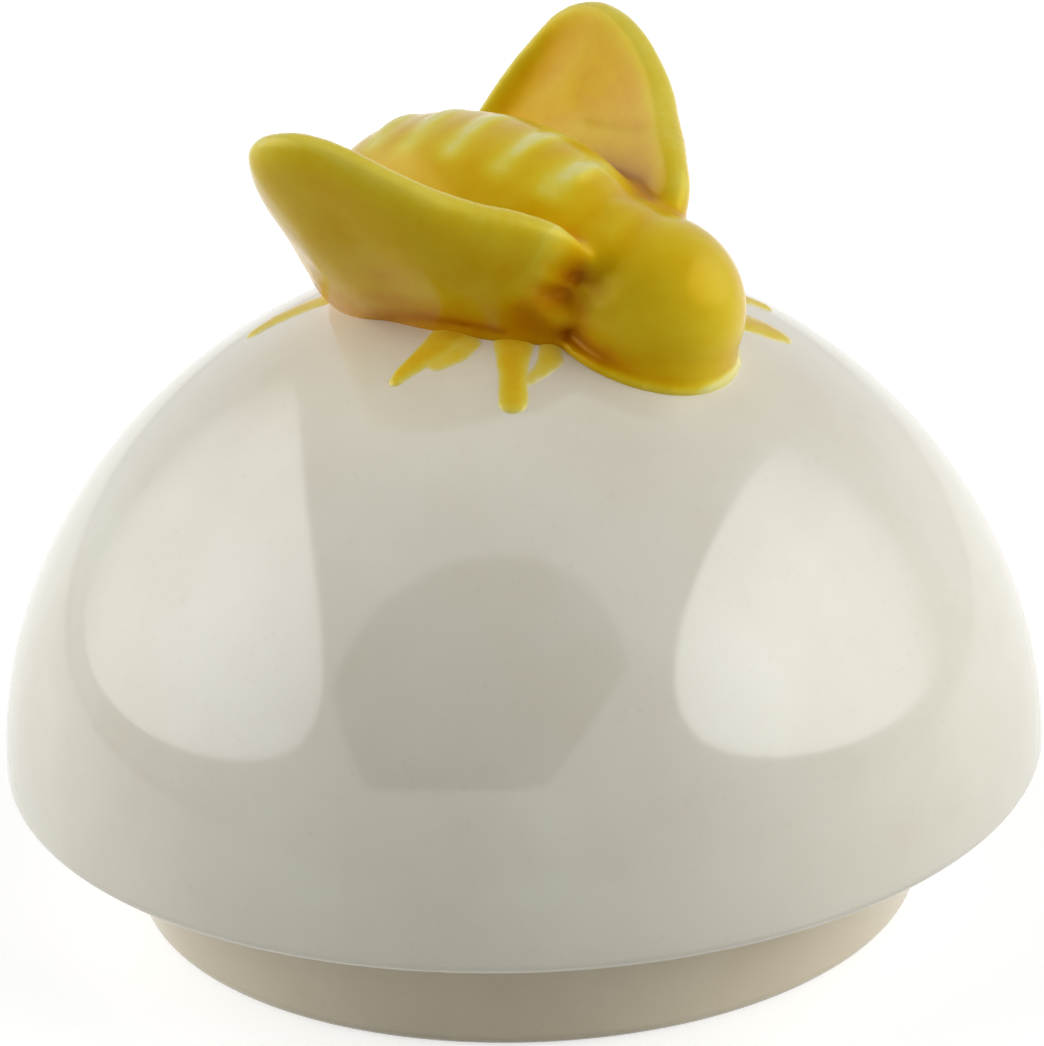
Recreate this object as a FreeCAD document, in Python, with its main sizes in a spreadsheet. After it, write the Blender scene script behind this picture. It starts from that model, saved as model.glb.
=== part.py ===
"""Lid of a honey pot: a hollow glazed dome with a locating flange and a bee finial.

Millimetres. +Z is up, the origin is the centre of the flange's bottom edge, and the bee faces -Y.
"""
import FreeCAD, Part
import math
import os
import Sketcher
from FreeCAD import Placement, Rotation, Vector

doc = FreeCAD.newDocument("HoneyPotLid")

# Driving sizes, in millimetres and degrees

SIZES = {
    # Dome and the ledge under it
    "dome_diameter": 90.0,
    "dome_height": 42.5,
    "shoulder_angle": 25.0,
    "dome_wall": 4.5,
    "ledge_thickness": 4.5,
    "rim_round": 1.2,
    # Locating flange
    "flange_diameter": 68.0,
    "flange_depth": 12.0,
    "flange_wall": 4.0,
    "flange_round": 1.2,
    "root_round": 1.0,
    # Seat of slip under the bee
    "seat_thickness": 1.2,
    "seat_lip": 0.9,
    # Ringed body
    "body_length": 33.0,
    "body_diameter": 21.0,
    "body_back": 2.0,
    "body_rise": 3.2,
    "ring_count": 6,
    "ring_front_inset": 2.6,
    "ring_rear_inset": 7.5,
    "ring_section": 3.0,
    "ring_relief": 0.5,
    "ring_lift": 2.2,
    # Thorax, between the body and the head
    "thorax_length": 14.0,
    "thorax_width": 19.0,
    "thorax_height": 13.4,
    "thorax_forward": 8.5,
    "thorax_rise": 3.6,
    # Hollow of the body and its vent
    "body_wall": 4.5,
    "vent_diameter": 4.0,
    # Head
    "head_length": 16.6,
    "head_width": 14.8,
    "head_height": 16.0,
    "head_forward": 14.6,
    "head_aside": 1.1,
    "head_rise": 0.3,
    # Wings
    "wing_aside": 7.8,
    "wing_back": 3.6,
    "wing_rise": 3.9,
    "wing_dihedral": 45.6,
    "wing_pitch": 8.8,
    "wing_reach": 19.4,
    "wing_front": 18.4,
    "wing_front_out": 2.6,
    "wing_leading_radius": 36.0,
    "wing_root_front": 12.0,
    "wing_rear": 13.2,
    "wing_tip_back": 2.0,
    "wing_tip_radius": 6.5,
    "wing_sink": 7.0,
    "wing_thickness": 2.0,
    "wing_round_share": 0.46,
    "wing_belly_depth": 6.6,
    "wing_belly_reach": 12.6,
    "wing_belly_length": 25.0,
    "wing_belly_front": 2.8,
    "wing_bowl_depth": 1.6,
    "wing_bowl_length": 22.5,
    "wing_bowl_width": 14.8,
    "wing_bowl_out": 6.5,
    "wing_bowl_forward": 2.6,
    "wing_bowl_angle": 38.7,
    # Legs
    "leg_length": 9.0,
    "leg_width": 3.0,
    "leg_relief": 0.6,
    # How far a cutting solid runs past what it cuts
    "overrun": 2.0,
}

sheet = doc.addObject("Spreadsheet::Sheet", "Sizes")
for row, (alias, value) in enumerate(SIZES.items(), start=1):
    sheet.set(f"A{row}", alias)
    sheet.set(f"B{row}", str(value))
    sheet.setAlias(f"B{row}", alias)
doc.recompute()


def size(alias):
    """The value of one cell of the sheet."""
    return float(sheet.get(alias))


def bind(thing, **expressions):
    """Bind properties to the sheet; two underscores in a name stand for a dot."""
    for name, text in expressions.items():
        thing.setExpression(name.replace("__", "."), text)


# Text of the sizes that follow from the driving ones

DOME_RADIUS = "Sizes.dome_diameter / 2"
WIDEST = "Sizes.flange_depth + Sizes.rim_round"
APEX = f"({WIDEST} + Sizes.dome_height)"
FLANGE_RADIUS = "Sizes.flange_diameter / 2"
MOUTH_RADIUS = f"({FLANGE_RADIUS} - Sizes.flange_wall)"
FLANGE_TOP = "(Sizes.flange_depth - Sizes.root_round)"
LEAN = "cos(Sizes.shoulder_angle * 1 deg)"
RISE = "sin(Sizes.shoulder_angle * 1 deg)"
CLOSE = f"((1 - {RISE}) / {LEAN})"
SHOULDER = f"((Sizes.dome_height - {DOME_RADIUS} * {CLOSE}) / ({RISE} - (1 - {LEAN}) * {CLOSE}))"
CROWN = f"(({DOME_RADIUS} - {SHOULDER} * (1 - {LEAN})) / {LEAN})"
CROWN_CENTRE = f"({APEX} - {CROWN})"
BODY_HEIGHT = f"({APEX} + Sizes.body_rise)"


def value_of(text):
    """A derived size as a number, for the first draft of a sketch and for places."""
    return float(sheet.evalExpression(text))


def part(kind, name, **expressions):
    """A document object with its sizes bound to the sheet."""
    thing = doc.addObject(kind, name)
    bind(thing, **expressions)
    return thing


def cut(name, base, *tools):
    """Cut the tools from the base, one after another; the last cut bears the name."""
    for count, tool in enumerate(tools, start=1):
        last = count == len(tools)
        result = doc.addObject("Part::Cut", name if last else f"{name}_cut_{count}")
        result.Base = base
        result.Tool = tool
        base = result
    return base


def fuse(name, *shapes):
    """Join shapes into one."""
    result = doc.addObject("Part::MultiFuse", name)
    result.Shapes = list(shapes)
    return result


def common(name, *shapes):
    """Keep what the shapes share."""
    result = doc.addObject("Part::MultiCommon", name)
    result.Shapes = list(shapes)
    return result


def ball(name, radius):
    """A sphere on the centre of the crown's arc."""
    return part("Part::Sphere", name, Radius=radius, Placement__Base__z=CROWN_CENTRE)


def sketch_on(body, role, name):
    """An empty sketch on one of a body's origin planes."""
    plane = next(p for p in body.Origin.OriginFeatures if p.Role == role)
    sketch = body.newObject("Sketcher::SketchObject", name)
    sketch.AttachmentSupport = [(plane, "")]
    sketch.MapMode = "FlatFace"
    return sketch


def join(sketch, *edges, smooth=()):
    """Close a chain of edges, each given with whether it runs forwards; smooth pairs meet tangent."""
    ends = [(edge, 2, 1) if forward else (edge, 1, 2) for edge, forward in edges]
    for (first, end, _), (second, _, start) in zip(ends, ends[1:] + ends[:1]):
        kind = "Tangent" if (first, second) in smooth else "Coincident"
        sketch.addConstraint(Sketcher.Constraint(kind, first, end, second, start))


def datum(sketch, name, text, kind, *where):
    """A named dimension of a sketch, bound to the sheet."""
    index = sketch.addConstraint(Sketcher.Constraint(kind, *where, value_of(text)))
    sketch.renameConstraint(index, name)
    sketch.setExpression(f"Constraints.{name}", text)


def line(sketch, start, end):
    """A straight edge from start to end."""
    return sketch.addGeometry(Part.LineSegment(Vector(*start), Vector(*end)))


def arc(sketch, centre, radius, first, last):
    """A round edge between two angles in degrees, counted from the sketch's own X axis."""
    circle = Part.Circle(Vector(*centre), Vector(0, 0, 1), radius)
    return sketch.addGeometry(Part.ArcOfCircle(circle, math.radians(first), math.radians(last)))


def revolve(body, sketch):
    """Turn a sketch once round the sketch's own upright axis."""
    turned = body.newObject("PartDesign::Revolution", f"{body.Name}_turned")
    turned.Profile = sketch
    turned.ReferenceAxis = (sketch, ["V_Axis"])
    turned.Angle = 360.0
    return turned


def dome_shell():
    """The dome: rim, shoulder and crown arcs outside, the same inside, and the ledge over the flange."""
    body = doc.addObject("PartDesign::Body", "dome_body")
    sketch = sketch_on(body, "XZ_Plane", "dome_profile")
    radius, mouth, depth = value_of(DOME_RADIUS), value_of(MOUTH_RADIUS), size("flange_depth")
    rim, wall, ledge = size("rim_round"), size("dome_wall"), size("ledge_thickness")
    outer, bend, low_top = value_of(FLANGE_RADIUS), size("root_round"), value_of(FLANGE_TOP)
    shoulder, crown, angle = value_of(SHOULDER), value_of(CROWN), size("shoulder_angle")
    hub = (radius - shoulder, value_of(WIDEST))
    top = (0, value_of(CROWN_CENTRE))
    low = math.degrees(math.asin((ledge - rim) / (shoulder - wall)))
    inner_x = hub[0] + (shoulder - wall) * math.cos(math.radians(low))
    root = line(sketch, (mouth, low_top), (outer, low_top))
    neck = arc(sketch, (outer + bend, low_top), bend, 90, 180)
    under = line(sketch, (outer + bend, depth), (radius - rim, depth))
    edge = arc(sketch, (radius - rim, depth + rim), rim, -90, 0)
    side = arc(sketch, hub, shoulder, 0, angle)
    cap = arc(sketch, top, crown, angle, 90)
    axis = line(sketch, (0, value_of(APEX)), (0, value_of(APEX) - wall))
    inner_cap = arc(sketch, top, crown - wall, angle, 90)
    inner_side = arc(sketch, hub, shoulder - wall, low, angle)
    shelf = line(sketch, (inner_x, depth + ledge), (mouth, depth + ledge))
    throat = line(sketch, (mouth, depth + ledge), (mouth, low_top))
    join(sketch, (root, True), (neck, False), (under, True), (edge, True), (side, True), (cap, True),
         (axis, True), (inner_cap, False), (inner_side, False), (shelf, True), (throat, True),
         smooth=((side, cap), (inner_cap, inner_side)))
    for flat in (root, under, shelf):
        sketch.addConstraint(Sketcher.Constraint("Horizontal", flat))
    sketch.addConstraint(Sketcher.Constraint("Vertical", throat))
    sketch.addConstraint(Sketcher.Constraint("PointOnObject", axis, 1, -2))
    sketch.addConstraint(Sketcher.Constraint("PointOnObject", axis, 2, -2))
    sketch.addConstraint(Sketcher.Constraint("PointOnObject", cap, 3, -2))
    sketch.addConstraint(Sketcher.Constraint("Coincident", inner_cap, 3, cap, 3))
    sketch.addConstraint(Sketcher.Constraint("Coincident", inner_side, 3, side, 3))
    sketch.addConstraint(Sketcher.Constraint("Vertical", edge, 3, edge, 1))
    sketch.addConstraint(Sketcher.Constraint("Horizontal", edge, 3, edge, 2))
    sketch.addConstraint(Sketcher.Constraint("Horizontal", side, 3, side, 1))
    sketch.addConstraint(Sketcher.Constraint("Vertical", neck, 3, neck, 1))
    sketch.addConstraint(Sketcher.Constraint("Horizontal", neck, 3, neck, 2))
    datum(sketch, "mouth", MOUTH_RADIUS, "DistanceX", -1, 1, root, 1)
    datum(sketch, "root", FLANGE_RADIUS, "DistanceX", -1, 1, root, 2)
    datum(sketch, "neck", "Sizes.root_round", "Radius", neck)
    datum(sketch, "depth", "Sizes.flange_depth", "DistanceY", -1, 1, under, 1)
    datum(sketch, "rim", "Sizes.rim_round", "Radius", edge)
    datum(sketch, "widest", DOME_RADIUS, "DistanceX", -1, 1, side, 1)
    datum(sketch, "shoulder", SHOULDER, "Radius", side)
    datum(sketch, "apex", APEX, "DistanceY", -1, 1, axis, 1)
    datum(sketch, "wall", "Sizes.dome_wall", "DistanceY", axis, 2, axis, 1)
    datum(sketch, "ledge", "Sizes.ledge_thickness", "DistanceY", under, 1, throat, 1)
    revolve(body, sketch)
    return body


def flange_ring():
    """The ring that drops into the pot's mouth, with its two lower edges rounded."""
    body = doc.addObject("PartDesign::Body", "locating_flange")
    sketch = sketch_on(body, "XZ_Plane", "flange_profile")
    outer, inner = value_of(FLANGE_RADIUS), value_of(MOUTH_RADIUS)
    depth, bend = value_of(FLANGE_TOP), size("flange_round")
    foot = line(sketch, (inner + bend, 0), (outer - bend, 0))
    outside = arc(sketch, (outer - bend, bend), bend, -90, 0)
    wall = line(sketch, (outer, bend), (outer, depth))
    top = line(sketch, (outer, depth), (inner, depth))
    bore = line(sketch, (inner, depth), (inner, bend))
    inside = arc(sketch, (inner + bend, bend), bend, 180, 270)
    join(sketch, (foot, True), (outside, True), (wall, True), (top, True), (bore, True), (inside, True))
    sketch.addConstraint(Sketcher.Constraint("PointOnObject", foot, 1, -1))
    for flat in (foot, top):
        sketch.addConstraint(Sketcher.Constraint("Horizontal", flat))
    for upright in (wall, bore):
        sketch.addConstraint(Sketcher.Constraint("Vertical", upright))
    for bent, down, level in ((outside, 1, 2), (inside, 2, 1)):
        sketch.addConstraint(Sketcher.Constraint("Vertical", bent, 3, bent, down))
        sketch.addConstraint(Sketcher.Constraint("Horizontal", bent, 3, bent, level))
    datum(sketch, "outer", FLANGE_RADIUS, "DistanceX", -1, 1, wall, 1)
    datum(sketch, "inner", MOUTH_RADIUS, "DistanceX", -1, 1, bore, 1)
    datum(sketch, "depth", FLANGE_TOP, "DistanceY", -1, 1, wall, 2)
    datum(sketch, "outside", "Sizes.flange_round", "Radius", outside)
    datum(sketch, "inside", "Sizes.flange_round", "Radius", inside)
    revolve(body, sketch)
    return body


def ellipsoid(name, across, along, high, x, y, z):
    """An egg of given whole sizes and place."""
    return part("Part::Ellipsoid", name, Radius2=f"{across} / 2", Radius3=f"{along} / 2",
                Radius1=f"{high} / 2", Placement__Base__x=x, Placement__Base__y=y, Placement__Base__z=z)


def body_egg(name, margin):
    """The egg of the body along Y, larger all round by a margin."""
    return ellipsoid(f"body_{name}", f"(Sizes.body_diameter + 2 * {margin})",
                     f"(Sizes.body_length + 2 * {margin})", f"(Sizes.body_diameter + 2 * {margin})",
                     "0", "Sizes.body_back", BODY_HEIGHT)


def head_egg(name, margin):
    """The egg of the head, larger all round by a margin."""
    return ellipsoid(f"head_{name}", f"(Sizes.head_width + 2 * {margin})",
                     f"(Sizes.head_length + 2 * {margin})", f"(Sizes.head_height + 2 * {margin})",
                     "Sizes.head_aside", "-Sizes.head_forward", f"{APEX} + Sizes.head_rise")


def ringed_body():
    """The abdomen and thorax: two eggs, and evenly spaced raised rings that fade into the flanks."""
    thorax = ellipsoid("thorax_egg", "Sizes.thorax_width", "Sizes.thorax_length", "Sizes.thorax_height",
                       "0", "-Sizes.thorax_forward", f"{APEX} + Sizes.thorax_rise")
    shapes = [body_egg("egg", "0"), thorax]
    first = "(Sizes.body_length / 2 - Sizes.body_back - Sizes.ring_front_inset)"
    span = "(Sizes.body_length - Sizes.ring_front_inset - Sizes.ring_rear_inset)"
    for count in range(int(size("ring_count"))):
        forward = f"({first} - {count} * {span} / (Sizes.ring_count - 1))"
        along = f"(({forward} + Sizes.body_back) / (Sizes.body_length / 2))"
        girth = f"(Sizes.body_diameter / 2 * sqrt(1 - {along} ^ 2))"
        shapes.append(part(
            "Part::Torus", f"body_ring_{count + 1}", Radius2="Sizes.ring_section / 2",
            Radius1=f"{girth} + Sizes.ring_relief - Sizes.ring_section / 2 - Sizes.ring_lift",
            Placement=f"placement(vector(0; -{forward}; {BODY_HEIGHT} + Sizes.ring_lift); "
                      "rotation(vector(1; 0; 0); 90))"))
    return fuse("body_ringed", *shapes)


def wing_blank():
    """One wing: a petal like a spoon, in a plane that leans out over the dome, with a full underside."""
    body = doc.addObject("PartDesign::Body", "wing_right_blank")
    sketch = sketch_on(body, "XY_Plane", "wing_outline")
    reach, radius, sink = size("wing_reach"), size("wing_tip_radius"), size("wing_sink")
    hub = Vector(reach - radius, -size("wing_tip_back"), 0)
    root_front = Vector(-sink, size("wing_root_front"), 0)
    root_rear = Vector(-sink, -size("wing_rear"), 0)
    corner = Vector(size("wing_front_out"), size("wing_front"), 0)

    def bearing(gap):
        """The angle of a direction in the sketch, in degrees."""
        return math.degrees(math.atan2(gap.y, gap.x))

    def away(turn, length):
        """A step of a given length at an angle."""
        return Vector(math.cos(math.radians(turn)), math.sin(math.radians(turn)), 0) * length

    # The straight rear edge and the bowed front edge both run smoothly into the tip's circle.
    gap = root_rear - hub
    trailing = bearing(gap) + math.degrees(math.acos(radius / gap.Length))
    gap, bow = corner - hub, size("wing_leading_radius")
    inner = bow - radius
    spread = math.acos((inner ** 2 + gap.Length ** 2 - bow ** 2) / (2 * inner * gap.Length))
    leading = bearing(gap) + math.degrees(spread) - 180
    bow_hub = hub - away(leading, inner)
    root = line(sketch, root_front, root_rear)
    back = line(sketch, root_rear, hub + away(trailing, radius))
    end = arc(sketch, hub, radius, trailing, leading)
    edge = arc(sketch, bow_hub, bow, leading, bearing(corner - bow_hub))
    neck = line(sketch, corner, root_front)
    join(sketch, (root, True), (back, True), (end, True), (edge, True), (neck, True),
         smooth=((back, end), (end, edge)))
    sketch.addConstraint(Sketcher.Constraint("Vertical", root))
    datum(sketch, "sink", "Sizes.wing_sink", "DistanceX", root, 1, -1, 1)
    datum(sketch, "root_front", "Sizes.wing_root_front", "DistanceY", -1, 1, root, 1)
    datum(sketch, "rear", "Sizes.wing_rear", "DistanceY", root, 2, -1, 1)
    datum(sketch, "front_out", "Sizes.wing_front_out", "DistanceX", -1, 1, neck, 1)
    datum(sketch, "front", "Sizes.wing_front", "DistanceY", -1, 1, neck, 1)
    datum(sketch, "tip_radius", "Sizes.wing_tip_radius", "Radius", end)
    datum(sketch, "leading_radius", "Sizes.wing_leading_radius", "Radius", edge)
    datum(sketch, "tip_out", "Sizes.wing_reach - Sizes.wing_tip_radius", "DistanceX", -1, 1, end, 3)
    datum(sketch, "tip_back", "Sizes.wing_tip_back", "DistanceY", end, 3, -1, 1)
    slab = body.newObject("PartDesign::Pad", "wing_slab")
    slab.Profile = sketch
    slab.Midplane = True
    bind(slab, Length="Sizes.wing_thickness")
    doc.recompute()
    bend = body.newObject("PartDesign::Fillet", "wing_bend")
    bend.Base = (slab, [f"Edge{count}" for count, edge in enumerate(slab.Shape.Edges, start=1)
                        if edge.BoundBox.ZLength < slab.Length.Value / 2 and edge.BoundBox.XMax > 0])
    bind(bend, Radius="Sizes.wing_thickness * Sizes.wing_round_share")
    belly = body.newObject("PartDesign::AdditiveEllipsoid", "wing_belly")
    belly.Angle2 = 0
    bind(belly, Radius1="Sizes.wing_belly_depth", Radius2="Sizes.wing_belly_reach",
         Radius3="Sizes.wing_belly_length / 2", Placement__Base__y="Sizes.wing_belly_front")
    bowl = body.newObject("PartDesign::SubtractiveEllipsoid", "wing_bowl")
    bind(bowl, Radius1="Sizes.wing_bowl_depth", Radius2="Sizes.wing_bowl_width / 2",
         Radius3="Sizes.wing_bowl_length / 2",
         Placement="placement(vector(Sizes.wing_bowl_out; Sizes.wing_bowl_forward; "
                   "Sizes.wing_thickness / 2); rotation(vector(0; 0; 1); Sizes.wing_bowl_angle))")
    bind(body, Placement="placement(vector(-Sizes.wing_aside; Sizes.wing_back; "
         f"{APEX} + Sizes.wing_rise); rotation(180; -Sizes.wing_dihedral; Sizes.wing_pitch))")
    return body


# Legs: freehand strokes of glaze. Each has the place of its middle along and across the bee, as shares of
# half the body's length and width, its heading in degrees, turned left from the bee's own, and its length
# and width as shares of a leg's.
LEG_SHARES = {
    "bee_leg_front_right": (0.65, -1.14, -55, 0.80, 1.00),
    "bee_leg_middle_right": (0.13, -1.42, -96, 0.75, 0.90),
    "bee_leg_rear_right": (-1.09, -0.83, -139, 0.78, 0.50),
    "bee_leg_front_left": (0.99, 1.18, 52, 0.85, 0.70),
    "bee_leg_middle_left": (0.68, 1.55, 68, 1.00, 0.60),
    "bee_leg_rear_left": (-1.09, 0.83, 139, 0.78, 0.50),
}


def leg_stroke(name, along, across, heading, length, width):
    """One low egg, laid in the dome's surface along its stroke."""
    stroke = part("Part::Ellipsoid", name, Radius2=f"{width} * Sizes.leg_width / 2",
                  Radius3=f"{length} * Sizes.leg_length / 2", Radius1="Sizes.leg_relief")
    x = across * size("body_diameter") / 2
    y = -along * size("body_length") / 2
    crown = value_of(CROWN)
    normal = Vector(x, y, math.sqrt(crown ** 2 - x ** 2 - y ** 2)).normalize()
    upright = Rotation(Vector(0, 0, 1), normal)
    stroke.Placement = Placement(Vector(0, 0, value_of(CROWN_CENTRE)) + normal * crown,
                                 upright * Rotation(Vector(0, 0, 1), heading))
    return stroke


crown_ball = ball("crown_ball", CROWN)
seat_ball = ball("seat_ball", f"{CROWN} + Sizes.seat_thickness")
seat_outline = fuse("seat_outline", body_egg("skirt", "Sizes.seat_lip"), head_egg("skirt", "Sizes.seat_lip"))
pad = common("seat_pad", cut("seat_shell", seat_ball, crown_ball), seat_outline)
vent = part("Part::Cylinder", "vent", Radius="Sizes.vent_diameter / 2", Height=BODY_HEIGHT)
body_ringed = ringed_body()
body_hollow = body_egg("hollow", "(-Sizes.body_wall)")
head_solid = head_egg("egg", "0")
wing_right = wing_blank()
wing_left = doc.addObject("Part::Mirroring", "wing_left_blank")
wing_left.Source = wing_right
wing_left.Normal = Vector(1, 0, 0)

nodes = [
    cut("lid_dome", dome_shell(), vent),
    flange_ring(),
    cut("bee_seat", pad, vent),
    cut("bee_abdomen", body_ringed, seat_ball, body_hollow),
    cut("bee_head", head_solid, body_ringed, seat_ball),
    cut("bee_wing_right", wing_right, body_ringed, head_solid, pad, crown_ball),
    cut("bee_wing_left", wing_left, body_ringed, head_solid, pad, crown_ball),
]
for leg, shares in LEG_SHARES.items():
    nodes.append(cut(leg, leg_stroke(f"{leg}_egg", *shares), crown_ball, pad))

doc.recompute()
for thing in doc.Objects:
    if "Invalid" in thing.State or "Error" in thing.State:
        raise RuntimeError(f"{thing.Label}: {thing.State}")
os.makedirs("parts", exist_ok=True)
for node in nodes:
    shape = node.Shape
    if shape.isNull() or not shape.isValid() or not shape.Solids:
        raise RuntimeError(f"{node.Label}: no sound solid")
for node in nodes:
    box = node.Shape.BoundBox
    print(f"{node.Label}: {len(node.Shape.Solids)} solid, {node.Shape.Volume:.1f} mm3, "
          f"z {box.ZMin:.2f} to {box.ZMax:.2f}")
    node.Shape.exportStep(f"parts/{node.Label}.step")
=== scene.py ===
# %% [markdown]
# # The lid of a honey pot, with a bee to lift it by
# The lid is earthenware: a hollow dome, a ring under it that drops into the pot's mouth, and a bee on top.
# It is glazed cream all over, and the bee is brushed with a yellow glaze that runs thin on every ridge and
# pools in every crease. The solid frame is loaded first, because every piece made here takes its place from
# it. Each piece is then modelled in millimetres, in the frame's own axes, and scaled to metres once.

# %% Load the frame
import math

import bmesh
import bpy
from mathutils import Matrix, Vector


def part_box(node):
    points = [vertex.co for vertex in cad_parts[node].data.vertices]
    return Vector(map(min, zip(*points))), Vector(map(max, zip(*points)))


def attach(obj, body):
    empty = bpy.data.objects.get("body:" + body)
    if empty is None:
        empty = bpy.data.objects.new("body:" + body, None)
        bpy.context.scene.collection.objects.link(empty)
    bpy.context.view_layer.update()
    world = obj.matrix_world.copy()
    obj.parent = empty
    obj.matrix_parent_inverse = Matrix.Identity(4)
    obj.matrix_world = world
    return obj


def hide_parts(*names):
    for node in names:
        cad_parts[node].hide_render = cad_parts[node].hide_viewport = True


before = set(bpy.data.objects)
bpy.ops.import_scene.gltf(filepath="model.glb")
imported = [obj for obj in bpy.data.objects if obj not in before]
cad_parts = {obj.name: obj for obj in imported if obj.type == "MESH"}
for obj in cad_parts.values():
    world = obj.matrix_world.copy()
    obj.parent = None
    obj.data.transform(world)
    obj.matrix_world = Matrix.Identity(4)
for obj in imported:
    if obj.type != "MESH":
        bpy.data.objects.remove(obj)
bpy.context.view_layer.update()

# %% [markdown]
# ## From a mesh to a piece
# A bmesh is Blender's editable mesh. When one is finished, its doubles are merged, its normals are turned
# outwards and it is scaled to metres. The object stays at the origin, so a pattern in Object coordinates is
# measured from the middle of the lid's foot, and the piece rides on the frame's only body.

# %% Finish a piece
MM = 0.001
MERGE_DISTANCE = 0.001


def finish_piece(name, bm, nodes, crease=35):
    """Make an object from a mesh in millimetres, for some nodes; edges over the crease angle stay sharp."""
    bmesh.ops.remove_doubles(bm, verts=bm.verts, dist=MERGE_DISTANCE)
    bmesh.ops.recalc_face_normals(bm, faces=bm.faces)
    bmesh.ops.scale(bm, vec=(MM, MM, MM), verts=bm.verts)
    mesh = bpy.data.meshes.new(name)
    bm.to_mesh(mesh)
    bm.free()
    mesh.shade_smooth()
    mesh.set_sharp_from_angle(angle=math.radians(crease))
    piece = bpy.data.objects.new(name, mesh)
    bpy.context.collection.objects.link(piece)
    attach(piece, "root")
    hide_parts(*nodes)
    print(name, "has", len(mesh.polygons), "faces and stands for", len(nodes), "nodes")
    return piece


# %% [markdown]
# ## The dome
# A potter throws or casts such a lid round one axis, so its section says everything: crown, shoulder, rim,
# the ledge that sits on the pot, and the same arcs again inside. A point is spun about the centre of each
# arc to draw the section, and the section is then spun about the lid's axis. That gives truly round arcs,
# which matters because a gloss glaze shows every flat in a reflection. A small vent goes through the crown.

# %% Sizes of the dome, in millimetres
flange_box = [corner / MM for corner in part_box("locating_flange")]
DOME_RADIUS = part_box("lid_dome")[1].x / MM
DOME_HEIGHT = 42.5
RIM_ROUND = 1.2
ROOT_ROUND = 1.0
INNER_ROUND = 0.8
LEDGE_HEIGHT = flange_box[1].z + ROOT_ROUND
LEDGE_THICKNESS = 4.5
FLANGE_RADIUS = flange_box[1].x
FLANGE_WALL = 4.0
MOUTH_RADIUS = FLANGE_RADIUS - FLANGE_WALL
WALL = 4.5
VENT_RADIUS = 2.0
SHOULDER_ANGLE = 25.0
APEX = LEDGE_HEIGHT + RIM_ROUND + DOME_HEIGHT

# The arcs of crown and shoulder meet at this angle without a kink, which settles both radii.
lean = math.cos(math.radians(SHOULDER_ANGLE))
rise = math.sin(math.radians(SHOULDER_ANGLE))
close = (1 - rise) / lean
SHOULDER = (APEX - LEDGE_HEIGHT - RIM_ROUND - DOME_RADIUS * close) / (rise - (1 - lean) * close)
CROWN = (DOME_RADIUS - SHOULDER * (1 - lean)) / lean
CROWN_CENTRE = Vector((0, 0, APEX - CROWN))
SHOULDER_HUB = (DOME_RADIUS - SHOULDER, LEDGE_HEIGHT + RIM_ROUND)
print(f"crown radius {CROWN:.2f} about height {CROWN_CENTRE.z:.2f}, shoulder radius {SHOULDER:.2f}")


# %% Draw a section with a moving point
def turn(bm, point, centre, degrees, steps):
    """Spin a point about a centre (x, z); a positive angle goes from up towards outwards."""
    made = bmesh.ops.spin(bm, geom=[point], cent=(centre[0], 0, centre[1]), axis=(0, 1, 0),
                          angle=math.radians(degrees), steps=steps, use_duplicate=False)
    return next(item for item in made["geom_last"] if isinstance(item, bmesh.types.BMVert))


def run(bm, point, x, z):
    """Extrude a point straight to (x, z)."""
    end = bmesh.ops.extrude_vert_indiv(bm, verts=[point])["verts"][0]
    end.co = (x, 0, z)
    return end


def lathe(bm, steps):
    """Spin everything drawn so far once round the lid's axis."""
    bmesh.ops.spin(bm, geom=bm.verts[:] + bm.edges[:], cent=(0, 0, 0), axis=(0, 0, 1),
                   angle=math.tau, steps=steps, use_merge=True, use_duplicate=False)


# %% Section and spin of the dome
LATHE_STEPS = 192
CROWN_STEPS, SHOULDER_STEPS, EDGE_STEPS, ROOT_STEPS = 40, 16, 8, 6
INNER_CROWN_STEPS, INNER_SHOULDER_STEPS = 36, 14
dome = bmesh.new()
crown = (0, CROWN_CENTRE.z)
start_turn = math.degrees(math.asin(VENT_RADIUS / CROWN))
inner_start = math.degrees(math.asin(VENT_RADIUS / (CROWN - WALL)))
start = dome.verts.new(CROWN_CENTRE + Vector((VENT_RADIUS, 0, math.sqrt(CROWN ** 2 - VENT_RADIUS ** 2))))
point = turn(dome, start, crown, 90 - SHOULDER_ANGLE - start_turn, CROWN_STEPS)
point = turn(dome, point, SHOULDER_HUB, SHOULDER_ANGLE, SHOULDER_STEPS)
point = turn(dome, point, (DOME_RADIUS - RIM_ROUND, LEDGE_HEIGHT + RIM_ROUND), 90, EDGE_STEPS)
point = run(dome, point, FLANGE_RADIUS + ROOT_ROUND, LEDGE_HEIGHT)
point = turn(dome, point, (FLANGE_RADIUS + ROOT_ROUND, LEDGE_HEIGHT - ROOT_ROUND), -90, ROOT_STEPS)
point = run(dome, point, MOUTH_RADIUS, LEDGE_HEIGHT - ROOT_ROUND)
ledge_top = LEDGE_HEIGHT + LEDGE_THICKNESS
edge = run(dome, point, MOUTH_RADIUS, ledge_top)
ledge_turn = math.asin((LEDGE_THICKNESS - RIM_ROUND) / (SHOULDER - WALL))
corner = run(dome, edge, SHOULDER_HUB[0] + (SHOULDER - WALL) * math.cos(ledge_turn), ledge_top)
point = turn(dome, corner, SHOULDER_HUB, math.degrees(ledge_turn) - SHOULDER_ANGLE, INNER_SHOULDER_STEPS)
point = turn(dome, point, crown, SHOULDER_ANGLE - 90 + inner_start, INNER_CROWN_STEPS)
dome.edges.new((point, start))
bmesh.ops.bevel(dome, geom=[edge, corner, point, start], affect="VERTICES", offset=INNER_ROUND, segments=4,
                profile=0.5, material=-1)
lathe(dome, LATHE_STEPS)
dome_piece = finish_piece("dome", dome, ["lid_dome"])

# %% [markdown]
# ## The locating flange
# The ring that keeps the lid from sliding off the pot is turned the same way. Its two lower edges are
# softened, as a potter does with a damp sponge, so the section is drawn with two quarter turns.

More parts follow.
